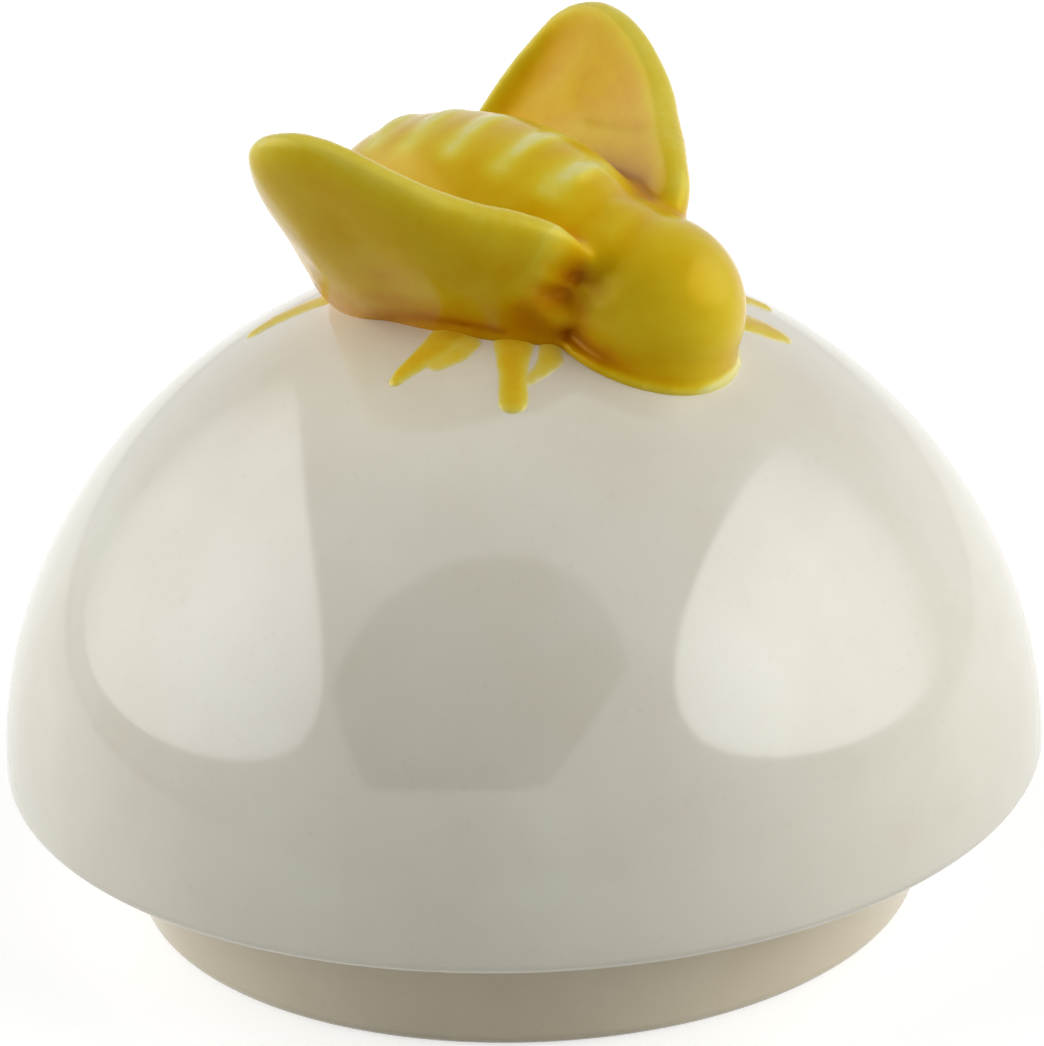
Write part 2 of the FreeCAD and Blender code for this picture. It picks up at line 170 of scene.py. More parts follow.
# %% Section and spin of the flange
FOOT_ROUND = 1.2
flange = bmesh.new()
start = flange.verts.new((FLANGE_RADIUS, 0, flange_box[1].z))
point = run(flange, start, FLANGE_RADIUS, FOOT_ROUND)
point = turn(flange, point, (FLANGE_RADIUS - FOOT_ROUND, FOOT_ROUND), 90, EDGE_STEPS)
point = run(flange, point, MOUTH_RADIUS + FOOT_ROUND, 0)
point = turn(flange, point, (MOUTH_RADIUS + FOOT_ROUND, FOOT_ROUND), 90, EDGE_STEPS)
point = run(flange, point, MOUTH_RADIUS, flange_box[1].z)
flange.edges.new((point, start))
lathe(flange, LATHE_STEPS)
flange_piece = finish_piece("flange", flange, ["locating_flange"])

# %% [markdown]
# ## The bee's body
# The body is an egg along Y, with its front towards -Y. Its rings are shallow crescents: high along the back
# and gone on the flanks. Each is a torus that is smaller than the body and set higher, so it comes out of
# the clay along the back only, and no edge has to be faded by hand.

# %% An egg and a ring
BODY = Vector((0, 2.0, APEX + 3.2))
BODY_SIZE = Vector((21.0, 33.0, 21.0))
RING_PLACES = (11.6, 7.9, 3.3, -1.9, -6.5, -11.0)
RING_BROAD, RING_HIGH, RING_RELIEF, RING_OFFSET = 2.8, 2.6, 0.32, 3.2
bee = bmesh.new()


def egg(bm, size, centre):
    """An egg of whole sizes at a centre; its vertices are given back."""
    verts = bmesh.ops.create_icosphere(bm, subdivisions=5, radius=0.5)["verts"]
    bmesh.ops.scale(bm, vec=size, verts=verts)
    bmesh.ops.translate(bm, vec=centre, verts=verts)
    return verts


def ring(bm, forward):
    """One raised ring of the body, set off its centre so that it sinks into the flanks."""
    along = (forward + BODY.y) / (BODY_SIZE.y / 2)
    girth = BODY_SIZE.x / 2 * math.sqrt(1 - along ** 2)
    hub = Vector((0, -forward, BODY.z + RING_OFFSET))
    verts = bmesh.ops.create_circle(bm, segments=16, radius=0.5)["verts"]
    bmesh.ops.rotate(bm, cent=(0, 0, 0), matrix=Matrix.Rotation(math.pi / 2, 3, "Y"), verts=verts)
    bmesh.ops.scale(bm, vec=(1, RING_BROAD, RING_HIGH), verts=verts)
    reach = girth + RING_RELIEF - RING_OFFSET - RING_HIGH / 2
    bmesh.ops.translate(bm, vec=hub + Vector((0, 0, reach)), verts=verts)
    edges = list({edge for vert in verts for edge in vert.link_edges})
    bmesh.ops.spin(bm, geom=verts + edges, cent=hub, axis=(0, 1, 0), angle=math.tau, steps=96,
                   use_merge=True, use_duplicate=False)


egg(bee, BODY_SIZE, BODY)
for forward in RING_PLACES:
    ring(bee, forward)
print("body and rings:", len(bee.verts), "vertices")

# %% [markdown]
# ## The thorax and the head
# Between body and head lies a broad, smooth thorax with a wing root on each side. The head is a ball that
# was pressed down on the dome, so its front goes straight down to the clay: two eggs, head and chin, give
# that wall. A last egg bridges head and thorax, because on top the clay runs on without a crease, while a
# crease stays below, between the head and each wing root.

# %% Thorax, wing roots, head and neck
THORAX, THORAX_SIZE = Vector((0, -7.6, APEX + 3.6)), Vector((18.4, 12.0, 13.0))
WING_ROOT, WING_ROOT_SIZE = Vector((5.8, -7.8, APEX + 3.3)), Vector((8.5, 10.0, 10.0))
HEAD, HEAD_SIZE = Vector((1.1, -14.6, APEX + 0.3)), Vector((14.8, 16.6, 16.0))
CHIN_SHIFT, CHIN_SIZE = Vector((-0.2, 0.2, -2.6)), Vector((14.2, 15.8, 14.0))
NECK, NECK_SIZE = Vector((0.4, -11.0, APEX + 4.5)), Vector((13.0, 12.0, 9.4))
egg(bee, THORAX_SIZE, THORAX)
for side in (-1, 1):
    egg(bee, WING_ROOT_SIZE, Vector((side * WING_ROOT.x, WING_ROOT.y, WING_ROOT.z)))
egg(bee, HEAD_SIZE, HEAD)
egg(bee, CHIN_SIZE, HEAD + CHIN_SHIFT)
egg(bee, NECK_SIZE, NECK)
print("with thorax and head:", len(bee.verts), "vertices")

# %% [markdown]
# ## The wings
# Each wing is a thick petal of clay with a rounded edge: a rim that leans outwards and sags a little along
# its front, an underside that runs in towards the body, and a shallow bowl on the inner side. The rim is
# one closed Bezier curve. It is turned into a loop of edges, and the loop is then extruded and drawn in
# towards a centre, again and again, first down for the underside and then over the edge into the bowl. The
# bowl's centre lies near the rear edge, so that the edge is broad in front and narrow behind.

# %% Rim of a wing as a curve
# Outward, forward and upward places of the rim, from the wing's own origin, in millimetres.
WING_RIM = [(2.5, 17.9, 0.8), (6.4, 15.3, 0.5), (8.2, 13.4, -0.15), (10.3, 11.1, -0.55), (12.7, 8.9, -0.75),
            (15.2, 6.1, -0.5), (17.3, 3.2, 0), (18.7, -0.2, 0.4), (18.9, -3.6, 0.3), (17.6, -6.4, 0.1),
            (15.4, -7.8, 0), (11.6, -9.3, 0), (7.0, -10.3, 0), (3.0, -11.1, -0.2), (-1.0, -11.9, -0.5),
            (-5.0, -12.3, -0.7), (-7.0, -8.0, -0.7), (-7.0, 8.0, -0.7), (-2.5, 17.0, 0.2)]
wing_curve = bpy.data.curves.new("wing_rim", "CURVE")
wing_curve.dimensions = "3D"
wing_curve.resolution_u = 6
spline = wing_curve.splines.new("BEZIER")
spline.bezier_points.add(len(WING_RIM) - 1)
spline.use_cyclic_u = True
for knot, place in zip(spline.bezier_points, WING_RIM):
    knot.co = place
for knot in spline.bezier_points:
    knot.handle_left_type = "AUTO"
    knot.handle_right_type = "AUTO"
wing_guide = bpy.data.objects.new("wing_rim", wing_curve)
wing_loop = bpy.data.meshes.new_from_object(wing_guide)
print("wing rim:", len(wing_loop.vertices), "points")


# %% Draw a loop in, step by step
def draw_in(bm, loop, centre, steps):
    """Extrude a loop through steps of (share outwards, share forwards, height) and close the end."""
    before = (1, 1, 0)
    for step in steps:
        made = bmesh.ops.extrude_edge_only(bm, edges=loop)["geom"]
        verts = [item for item in made if isinstance(item, bmesh.types.BMVert)]
        loop = [item for item in made if isinstance(item, bmesh.types.BMEdge)
                and all(vert in verts for vert in item.verts)]
        ratio = (step[0] / before[0], step[1] / before[1], step[0] / before[0])
        hub = centre + Vector((0, 0, before[2]))
        bmesh.ops.scale(bm, vec=ratio, space=Matrix.Translation(-hub), verts=verts)
        bmesh.ops.translate(bm, vec=(0, 0, step[2] - before[2]), verts=verts)
        before = step
    bmesh.ops.contextual_create(bm, geom=loop)


# %% Both wings
# Each step is a share of the rim's size outwards, the same forwards, and a height over the rim.
WING_ORIGIN = Vector((-7.8, 3.6, APEX + 3.9))
WING_LEAN, WING_PITCH = -45.6, 8.8
UNDERSIDE_HUB, BOWL_HUB = Vector((-2.5, 3.5, 0)), Vector((8.0, -3.5, 0))
UNDERSIDE = [(0.99, 0.99, -0.5), (0.97, 0.97, -1.0), (0.94, 0.945, -1.5), (0.90, 0.915, -1.95),
             (0.85, 0.88, -2.4), (0.79, 0.84, -2.9), (0.72, 0.79, -3.4), (0.64, 0.735, -3.9),
             (0.55, 0.68, -4.4), (0.44, 0.62, -4.85), (0.32, 0.56, -5.2), (0.18, 0.50, -5.5)]
EDGE_AND_BOWL = [(share, share, height) for share, height in
                 ((0.985, 0.55), (0.96, 0.95), (0.93, 1.2), (0.90, 1.3), (0.87, 1.28), (0.83, 1.12),
                  (0.77, 0.85), (0.68, 0.5), (0.55, 0.2), (0.40, 0.0), (0.25, -0.05))]
wing = bmesh.new()
wing.from_mesh(wing_loop)
rim = wing.edges[:]
draw_in(wing, rim, UNDERSIDE_HUB, UNDERSIDE)
draw_in(wing, rim, BOWL_HUB, EDGE_AND_BOWL)
wing_place = (Matrix.Translation(WING_ORIGIN) @ Matrix.Rotation(math.pi, 4, "Z")
              @ Matrix.Rotation(math.radians(WING_LEAN), 4, "Y")
              @ Matrix.Rotation(math.radians(WING_PITCH), 4, "X"))
bmesh.ops.transform(wing, matrix=wing_place, verts=wing.verts)
bmesh.ops.recalc_face_normals(wing, faces=wing.faces)
bmesh.ops.mirror(wing, geom=wing.verts[:] + wing.edges[:] + wing.faces[:], axis="X", merge_dist=0)
bmesh.ops.recalc_face_normals(wing, faces=wing.faces)
wing_mesh = bpy.data.meshes.new("wings")
wing.to_mesh(wing_mesh)
wing.free()
bee.from_mesh(wing_mesh)
print("with the wings:", len(bee.verts), "vertices; highest point", round(max(v.co.z for v in bee.verts), 2))


# %% [markdown]
# ## The seat, and one skin over all
# The bee is stuck down with slip, which shows as a thin lip round the head. Two larger eggs make it,
# flattened to a shell just over the crown. Then all these lumps become one: a voxel remesh wraps a single
# skin round them, and smoothing lets the skin fill the creases, as the glaze does on the real bee. The wing
# roots are smoothed most, in nested steps that leave no border. At last a crease is pressed in.

# %% Seat of slip
def settle(verts, low, high):
    """Keep points between two heights over the crown, measured square to it."""
    for vert in verts:
        out = vert.co - CROWN_CENTRE
        reach = min(max(out.length, CROWN + low), CROWN + high)
        vert.co = CROWN_CENTRE + out.normalized() * reach


SUNK = -0.9
BODY_LIP, BODY_SEAT = Vector((2.4, 2.4, 2.4)), 0.7
HEAD_LIP, HEAD_SEAT = Vector((2.2, 2.2, 2.2)), 0.65
settle(egg(bee, BODY_SIZE + BODY_LIP, BODY), SUNK, BODY_SEAT)
settle(egg(bee, HEAD_SIZE + HEAD_LIP, HEAD), SUNK, HEAD_SEAT)
# Nothing reaches deeper into the dome than the seat does.
settle(bee.verts, SUNK, CROWN)
print("with the seat:", len(bee.verts), "vertices")


# %% One skin
def smooth(bm, verts, rounds):
    """Move points towards the middle of their neighbours, again and again."""
    for _ in range(rounds):
        bmesh.ops.smooth_vert(bm, verts=verts, factor=0.5, use_axis_x=True, use_axis_y=True, use_axis_z=True)


def one_skin(bm, voxel, rounds):
    """Wrap closed lumps in one skin of small quads, then smooth it."""
    mesh = bpy.data.meshes.new("lumps")
    bm.to_mesh(mesh)
    bm.clear()
    lumps = bpy.data.objects.new("lumps", mesh)
    bpy.context.collection.objects.link(lumps)
    wrap = lumps.modifiers.new("wrap", "REMESH")
    wrap.mode = "VOXEL"
    wrap.voxel_size = voxel
    ready = lumps.evaluated_get(bpy.context.evaluated_depsgraph_get())
    bm.from_mesh(bpy.data.meshes.new_from_object(ready))
    bpy.data.objects.remove(lumps)
    smooth(bm, bm.verts, rounds)


BEE_VOXEL, BEE_ROUNDS = 0.3, 8
SOFT_HUB, SOFT_REACHES, SOFT_ROUNDS = Vector((7.5, -11.0, APEX + 7.6)), (8.0, 7.0, 6.0, 5.0, 4.0), 7
one_skin(bee, BEE_VOXEL, BEE_ROUNDS)
for side in (-1, 1):
    hub = Vector((side * SOFT_HUB.x, SOFT_HUB.y, SOFT_HUB.z))
    for reach in SOFT_REACHES:
        smooth(bee, [vert for vert in bee.verts if (vert.co - hub).length < reach], SOFT_ROUNDS)
print("one skin:", len(bee.faces), "faces")


# %% Crease between the head and the right wing root
def press(bm, dents, hub, reach, rounds):
    """Press a row of dents (place, depth) towards a hub, as a finger does; each vertex keeps its share."""
    layer = bm.verts.layers.float.new("pressed")
    touched = []
    for vert in bm.verts:
        falls = [(max(0, 1 - ((vert.co - place).length / reach) ** 2) ** 2, depth) for place, depth in dents]
        share, push = max(fall for fall, depth in falls), max(fall * depth for fall, depth in falls)
        if share > 0:
            vert[layer] = share
            vert.co += (hub - vert.co).normalized() * push
            touched.append(vert)
    smooth(bm, touched, rounds)
    return layer


DENTS = [(Vector((-7.8, -14.6, APEX + 6.8)), 1.6), (Vector((-8.2, -13.8, APEX + 5.1)), 2.7),
         (Vector((-8.5, -12.0, APEX + 3.2)), 2.0), (Vector((-8.8, -10.2, APEX + 1.6)), 0.9)]
DENT_HUB, DENT_REACH, DENT_ROUNDS = Vector((-2.0, -9.5, APEX + 3.0)), 3.6, 12
pressed = press(bee, DENTS, DENT_HUB, DENT_REACH, DENT_ROUNDS)
print("crease pressed with", len(DENTS), "dents")

# %% [markdown]
# ## Where the glaze pools, with painted shade in the creases
# Melted glaze runs off ridges and gathers in hollows, so its depth follows the shape. To measure that, a
# copy of the skin is smoothed much further: where the copy lies above the skin there is a hollow, and where
# it lies below there is a ridge. Glaze also runs down and gathers at the foot, so the lowest millimetres
# count as a little deeper, except in front, where the brush hardly reached, and least on the left of the
# lip. On the rings it was wiped thin. The darker colour this gives in the hollows, in the pressed crease
# and at the foot is partly painted shade: it stands in for the shade that falls there, as well as for pooled
# glaze. Each vertex keeps the result as an attribute for the material to read.


# %% Measure hollows and ridges
def hollows(bm, rounds):
    """How far a smoothed copy of the skin lies over each vertex, in millimetres."""
    copy = bm.copy()
    smooth(copy, copy.verts, rounds)
    bm.normal_update()
    depths = [(soft.co - vert.co).dot(vert.normal) for soft, vert in zip(copy.verts, bm.verts)]
    copy.free()
    return depths


FINE_ROUNDS, BROAD_ROUNDS = 14, 70
fine = hollows(bee, FINE_ROUNDS)
broad = hollows(bee, BROAD_ROUNDS)
print("deepest hollow", round(max(broad), 2), "mm, highest ridge", round(-min(broad), 2), "mm")

# %% Rings that were wiped
RING_THIN, RING_END, RING_FADE = 1.3, math.radians(38), math.radians(10)


def clip(value):
    """Keep a value between 0 and 1."""
    return min(max(value, 0), 1)


def wiped(place):
    """How far the glaze is wiped off on the rings at a place of the body, from 0 to 1."""
    off = place - BODY
    turned = math.atan2(abs(off.x), off.z)
    fade = clip((RING_END - turned) / RING_FADE)
    return fade * max(math.exp(-((place.y + forward) / RING_THIN) ** 2) for forward in RING_PLACES[1:])


print("rings wiped for", round(math.degrees(RING_END)), "degrees to each side of the back")

# %% Depth of the glaze, with painted shade in creases and at the foot
EVEN_DEPTH, HOLLOW_LIMIT = 0.5, 0.2
# These gains darken the yellow in hollows, in the pressed crease and at the foot: partly pooled glaze,
# partly painted shade.
HOLLOW_POOL_AND_SHADE_GAIN, RIDGE_GAIN, BROAD_POOL_AND_SHADE_GAIN, FOOT_POOL_AND_SHADE_GAIN, PRESSED_POOL_AND_SHADE_GAIN = 1.8, 1.2, 0.6, 0.32, 0.3
RING_LOSS, LIP_LOSS = 0.35, 0.7
FOOT_REACH, FRONT, FRONT_FADE = 5.0, 15.0, 4.0
LIP_TOP, LIP_FADE, LIP_SIDE, LIP_SIDE_FADE = 1.5, 0.8, -2.0, 4.0
pool_and_shade_layer = bee.verts.layers.float.new("pool")
for vert, near, far in zip(bee.verts, fine, broad):
    height = (vert.co - CROWN_CENTRE).length - CROWN
    front = clip((-vert.co.y - FRONT) / FRONT_FADE)
    foot = max(0, 1 - height / FOOT_REACH) * (1 - front)
    lip = clip((LIP_TOP - height) / LIP_FADE) * front * clip((vert.co.x - LIP_SIDE) / LIP_SIDE_FADE)
    hollow, ridge = min(max(near, 0), HOLLOW_LIMIT), min(near, 0)
    depth = EVEN_DEPTH + HOLLOW_POOL_AND_SHADE_GAIN * hollow + RIDGE_GAIN * ridge + BROAD_POOL_AND_SHADE_GAIN * far
    depth = depth + FOOT_POOL_AND_SHADE_GAIN * foot + PRESSED_POOL_AND_SHADE_GAIN * vert[pressed]
    vert[pool_and_shade_layer] = depth - RING_LOSS * wiped(vert.co) - LIP_LOSS * lip
print("pool from", round(min(v[pool_and_shade_layer] for v in bee.verts), 2), "to",
      round(max(v[pool_and_shade_layer] for v in bee.verts), 2))
bee_nodes = ["bee_seat", "bee_abdomen", "bee_head", "bee_wing_left", "bee_wing_right"]
bee_piece = finish_piece("bee", bee, bee_nodes, crease=180)

# %% [markdown]
# ## The legs
# The legs are thick strokes of the same glaze, brushed on the dome with a loaded brush, and beside two of
# them a thin wash of it has run. A row of flattened balls along each stroke, wrapped in one skin, gives
# their soft ends and uneven edges.

# %% Strokes of the brush
# Forward and right places on the dome, half width and height of the stroke there, in millimetres.
LEG_STROKES = {
    "bee_leg_front_right": [[(7.6, 8.6, 2.0, 0.4), (8.8, 10.2, 1.7, 0.4), (10.0, 11.8, 1.4, 0.4),
                             (11.2, 13.2, 1.5, 0.4), (12.0, 14.2, 1.5, 0.4)],
                            [(10.4, 7.2, 1.2, 0.25), (11.4, 8.4, 1.3, 0.25), (11.6, 9.8, 1.0, 0.2),
                             (11.6, 11.4, 0.7, 0.15)]],
    "bee_leg_middle_right": [[(2.6, 10.8, 2.3, 0.4), (2.5, 12.6, 1.9, 0.4), (2.2, 14.4, 1.4, 0.4),
                              (1.9, 16.2, 1.1, 0.35), (1.9, 17.2, 0.8, 0.3)],
                             [(4.4, 10.8, 1.4, 0.25), (4.6, 12.4, 1.3, 0.25), (4.0, 14.2, 1.0, 0.2)]],
    "bee_leg_rear_right": [[(-14.0, 6.6, 1.9, 0.3), (-16.2, 8.0, 1.8, 0.3), (-18.1, 9.4, 1.6, 0.3),
                            (-19.2, 10.9, 1.2, 0.25)]],
    "bee_leg_front_left": [[(12.2, -7.4, 2.1, 0.35), (13.6, -9.4, 2.3, 0.35), (15.5, -12.4, 2.3, 0.35),
                            (16.8, -13.9, 2.0, 0.35), (17.6, -14.7, 1.4, 0.3)]],
    "bee_leg_middle_left": [[(7.0, -10.0, 1.8, 0.35), (8.2, -12.0, 1.9, 0.35), (9.8, -15.0, 1.8, 0.35),
                             (11.2, -17.5, 1.5, 0.35), (12.2, -19.4, 1.1, 0.3)]],
}
# The rear left leg mirrors the right one.
LEG_STROKES["bee_leg_rear_left"] = [[(forward, -right, half, high) for forward, right, half, high in places]
                                    for places in LEG_STROKES["bee_leg_rear_right"]]
print("strokes and washes:", sum(len(strokes) for strokes in LEG_STROKES.values()))


# %% Dabs of glaze along each stroke
def dab(bm, forward, right, half, high):
    """A flattened ball of glaze, half sunk in the crown."""
    verts = bmesh.ops.create_icosphere(bm, subdivisions=3, radius=1)["verts"]
    bmesh.ops.scale(bm, vec=(half, half, high * 2), verts=verts)
    bmesh.ops.translate(bm, vec=(0, 0, -high), verts=verts)
    up = Vector((-right, -forward, math.sqrt(CROWN ** 2 - forward ** 2 - right ** 2)))
    place = CROWN_CENTRE + up
    tilt = Vector((0, 0, 1)).rotation_difference(place - CROWN_CENTRE).to_matrix()
    bmesh.ops.rotate(bm, cent=(0, 0, 0), matrix=tilt, verts=verts)
    bmesh.ops.translate(bm, vec=place, verts=verts)


DAB_SHARES = (0, 0.25, 0.5, 0.75, 1)
LEG_SUNK, LEG_RELIEF = -0.4, 0.4
LEG_VOXEL, LEG_ROUNDS = 0.14, 4
leg_pieces = []
for node, strokes in LEG_STROKES.items():
    leg = bmesh.new()
    for places in strokes:
        for near, far in zip(places, places[1:]):
            for share in DAB_SHARES:
                dab(leg, *(a + (b - a) * share for a, b in zip(near, far)))
    settle(leg.verts, LEG_SUNK, LEG_RELIEF)
    one_skin(leg, LEG_VOXEL, LEG_ROUNDS)
    height_layer = leg.verts.layers.float.new("pool")
    for vert in leg.verts:
        vert[height_layer] = ((vert.co - CROWN_CENTRE).length - CROWN) / LEG_RELIEF
    leg_pieces.append(finish_piece(node.replace("bee_", ""), leg, [node], crease=180))

# %% [markdown]
# ## Colours and nodes
# Colours are written as sRGB hex values, the way a colour picker shows them, and turned to the linear values
# that Blender's shaders count in. One small function adds a node, sets what is the same all over and links
# the rest.


# %% Colour and node helpers
def linear(code):
    """An sRGB hex colour as linear red, green, blue and alpha."""
    parts = [int(code[place:place + 2], 16) / 255 for place in (1, 3, 5)]
    return [part / 12.92 if part <= 0.04045 else ((part + 0.055) / 1.055) ** 2.4 for part in parts] + [1]


def add(tree, kind, settings=None, links=None):
    """Add a node; settings are its properties or its sockets' values, and links join its sockets."""
    node = tree.nodes.new(kind)
    for name, value in (settings or {}).items():
        if isinstance(name, str) and name in node.bl_rna.properties:
            setattr(node, name, value)
        else:
            node.inputs[name].default_value = value
    for name, source in (links or {}).items():
        tree.links.new(source, node.inputs[name])
    return node


def new_material(name):
    """An empty material with its output node."""
    material = bpy.data.materials.new(name)
    material.use_nodes = True
    material.node_tree.nodes.clear()
    return material, material.node_tree, add(material.node_tree, "ShaderNodeOutputMaterial")


print("middle grey as linear:", [round(v, 3) for v in linear("#808080")])

# %% [markdown]
# ## Cream glaze
# A clear, slightly milky lead glaze over pale clay. It looks like wet paint: colour that drifts a little
# over a centimetre or so, a faint grain of the clay under it, and a surface that is not quite flat, so that
# reflections have soft, slightly wandering edges. A lead glaze has an IOR of about 1.6, more than glass,
# which is where its deep shine comes from. The flange is a touch warmer than the dome.

# %% Cream glaze
# The clay's real grain is finer, and is drawn this coarse so that it shows.
CREAM_DARK, CREAM_PALE, CLAY_SPECK, WARM_FLANGE = "#dfd9c8", "#e6e2d3", "#b9ae92", "#fbf3e6"
DRIFT_SIZE, GRAIN_SIZE = 14 * MM, 0.9 * MM
WARM_FADE = 3.0
GLAZE_IOR = 1.56
cream, tree, out = new_material("cream gloss glaze on earthenware")
place = add(tree, "ShaderNodeTexCoord").outputs["Object"]
drift = add(tree, "ShaderNodeTexNoise", {"Scale": 1 / DRIFT_SIZE, "Detail": 3.0, "Roughness": 0.55},
            {"Vector": place})
grain = add(tree, "ShaderNodeTexNoise", {"Scale": 1 / GRAIN_SIZE, "Detail": 2.0, "Roughness": 0.6},
            {"Vector": place})
tone = add(tree, "ShaderNodeValToRGB", None, {"Fac": drift.outputs["Fac"]})
tone.color_ramp.elements[0].position = 0.3
tone.color_ramp.elements[0].color = linear(CREAM_DARK)
tone.color_ramp.elements[1].position = 0.7
tone.color_ramp.elements[1].color = linear(CREAM_PALE)
speck = add(tree, "ShaderNodeMapRange", {"From Min": 0.62, "From Max": 0.8, "To Min": 0.0, "To Max": 0.12},
            {"Value": grain.outputs["Fac"]})
clay = add(tree, "ShaderNodeMix", {"data_type": "RGBA", 7: linear(CLAY_SPECK)},
           {0: speck.outputs["Result"], 6: tone.outputs["Color"]})
height = add(tree, "ShaderNodeSeparateXYZ", None, {"Vector": place})
below = add(tree, "ShaderNodeMapRange",
            {"From Min": LEDGE_HEIGHT * MM, "From Max": (LEDGE_HEIGHT - WARM_FADE) * MM},
            {"Value": height.outputs["Z"]})
warm = add(tree, "ShaderNodeMix", {"data_type": "RGBA", "blend_type": "MULTIPLY", 7: linear(WARM_FLANGE)},
           {0: below.outputs["Result"], 6: clay.outputs[2]})
gloss = add(tree, "ShaderNodeMapRange", {"From Min": 0.3, "From Max": 0.7, "To Min": 0.06, "To Max": 0.11},
            {"Value": drift.outputs["Fac"]})
wave = add(tree, "ShaderNodeBump", {"Strength": 0.06, "Distance": 0.3 * MM},
           {"Height": drift.outputs["Fac"]})
shader = add(tree, "ShaderNodeBsdfPrincipled", {"IOR": GLAZE_IOR},
             {"Base Color": warm.outputs[2], "Roughness": gloss.outputs["Result"],
              "Normal": wave.outputs["Normal"]})
tree.links.new(shader.outputs["BSDF"], out.inputs["Surface"])
for piece in (dome_piece, flange_piece):
    piece.data.materials.append(cream)
print(cream.name, "has", len(cream.node_tree.nodes), "nodes")

# %% [markdown]
# ## Yellow glaze
# A transparent yellow glaze, brushed on. Where it is thin the pale clay shows through and it is lemon; where
# it has pooled it is amber, and in the deepest creases orange-brown; in the creases and at the foot this
# darker colour is partly painted shade. The ramp reads the depth that was measured on the skin, and a little
# noise moves it about, as a brush does. The glaze colours what it reflects a little, so the shader's
# specular tint is yellow too.

# %% Yellow glaze
BRUSH_SIZE = 3.5 * MM
# The amber to orange-brown end of the ramp, reached in creases and at the foot, is partly painted shade.
YELLOW_STOPS_WITH_SHADE = [(0.0, "#e9e08c"), (0.12, "#e6d654"), (0.30, "#e0c428"), (0.50, "#dab00c"), (0.72, "#cf9202"),
                (0.95, "#b87002")]
yellow, tree, out = new_material("yellow majolica glaze, brushed")
place = add(tree, "ShaderNodeTexCoord").outputs["Object"]
pool = add(tree, "ShaderNodeAttribute", {"attribute_name": "pool"})
brush = add(tree, "ShaderNodeTexNoise", {"Scale": 1 / BRUSH_SIZE, "Detail": 4.0, "Roughness": 0.6},
            {"Vector": place})
uneven = add(tree, "ShaderNodeMapRange",
             {"From Min": 0.25, "From Max": 0.75, "To Min": -0.08, "To Max": 0.08},
             {"Value": brush.outputs["Fac"]})
depth = add(tree, "ShaderNodeMath", {"operation": "ADD"},
            {0: pool.outputs["Fac"], 1: uneven.outputs["Result"]})
tint = add(tree, "ShaderNodeValToRGB", None, {"Fac": depth.outputs["Value"]})
for position, code in YELLOW_STOPS_WITH_SHADE[1:-1]:
    tint.color_ramp.elements.new(position)
for element, (position, code) in zip(tint.color_ramp.elements, YELLOW_STOPS_WITH_SHADE):
    element.position = position
    element.color = linear(code)
ripple = add(tree, "ShaderNodeBump", {"Strength": 0.10, "Distance": 0.3 * MM},
             {"Height": brush.outputs["Fac"]})
shader = add(tree, "ShaderNodeBsdfPrincipled",
             {"IOR": 1.3, "Roughness": 0.21, "Specular IOR Level": 0.75, "Specular Tint": linear("#ffd844")},
             {"Base Color": tint.outputs["Color"], "Normal": ripple.outputs["Normal"]})
tree.links.new(shader.outputs["BSDF"], out.inputs["Surface"])
bee_piece.data.materials.append(yellow)
print(yellow.name, "has", len(YELLOW_STOPS_WITH_SHADE), "depths of colour")

# %% [markdown]
# ## Glaze of the legs
# The same yellow, but in one stroke: lemon at the feathered edge, where the cream shows through, and full
# yellow where the stroke is thick.

# %% Leg glaze
STROKE_SIZE = 1.6 * MM
LEG_STOPS = [(0.0, "#e0d9a6"), (0.3, "#e0cf5c"), (0.7, "#e0c432"), (1.0, "#dcb422")]
stroke, tree, out = new_material("yellow majolica glaze, one stroke")
place = add(tree, "ShaderNodeTexCoord").outputs["Object"]
pool = add(tree, "ShaderNodeAttribute", {"attribute_name": "pool"})
brush = add(tree, "ShaderNodeTexNoise", {"Scale": 1 / STROKE_SIZE, "Detail": 3.0, "Roughness": 0.6},
            {"Vector": place})
uneven = add(tree, "ShaderNodeMapRange", {"From Min": 0.25, "From Max": 0.75, "To Min": -0.2, "To Max": 0.2},
             {"Value": brush.outputs["Fac"]})
depth = add(tree, "ShaderNodeMath", {"operation": "ADD"},
            {0: pool.outputs["Fac"], 1: uneven.outputs["Result"]})
tint = add(tree, "ShaderNodeValToRGB", None, {"Fac": depth.outputs["Value"]})
for position, code in LEG_STOPS[1:-1]:
    tint.color_ramp.elements.new(position)
for element, (position, code) in zip(tint.color_ramp.elements, LEG_STOPS):
    element.position = position
    element.color = linear(code)
shader = add(tree, "ShaderNodeBsdfPrincipled",
             {"IOR": 1.5, "Roughness": 0.2, "Specular IOR Level": 0.4, "Specular Tint": linear("#ffe890")},
             {"Base Color": tint.outputs["Color"]})
tree.links.new(shader.outputs["BSDF"], out.inputs["Surface"])
for piece in leg_pieces:
    piece.data.materials.append(stroke)
print(stroke.name, "is on", len(leg_pieces), "legs")

# %% [markdown]
# ## The studio
# The lid stands on a white table between two large oval soft lights, one on each side of the camera, which
# show on the dome as two pale windows. The camera looks through a dark opening, and
# that gives the dim patch in the middle of the dome. The table looks white to the camera and in reflections,
# and still takes the lid's shadow.

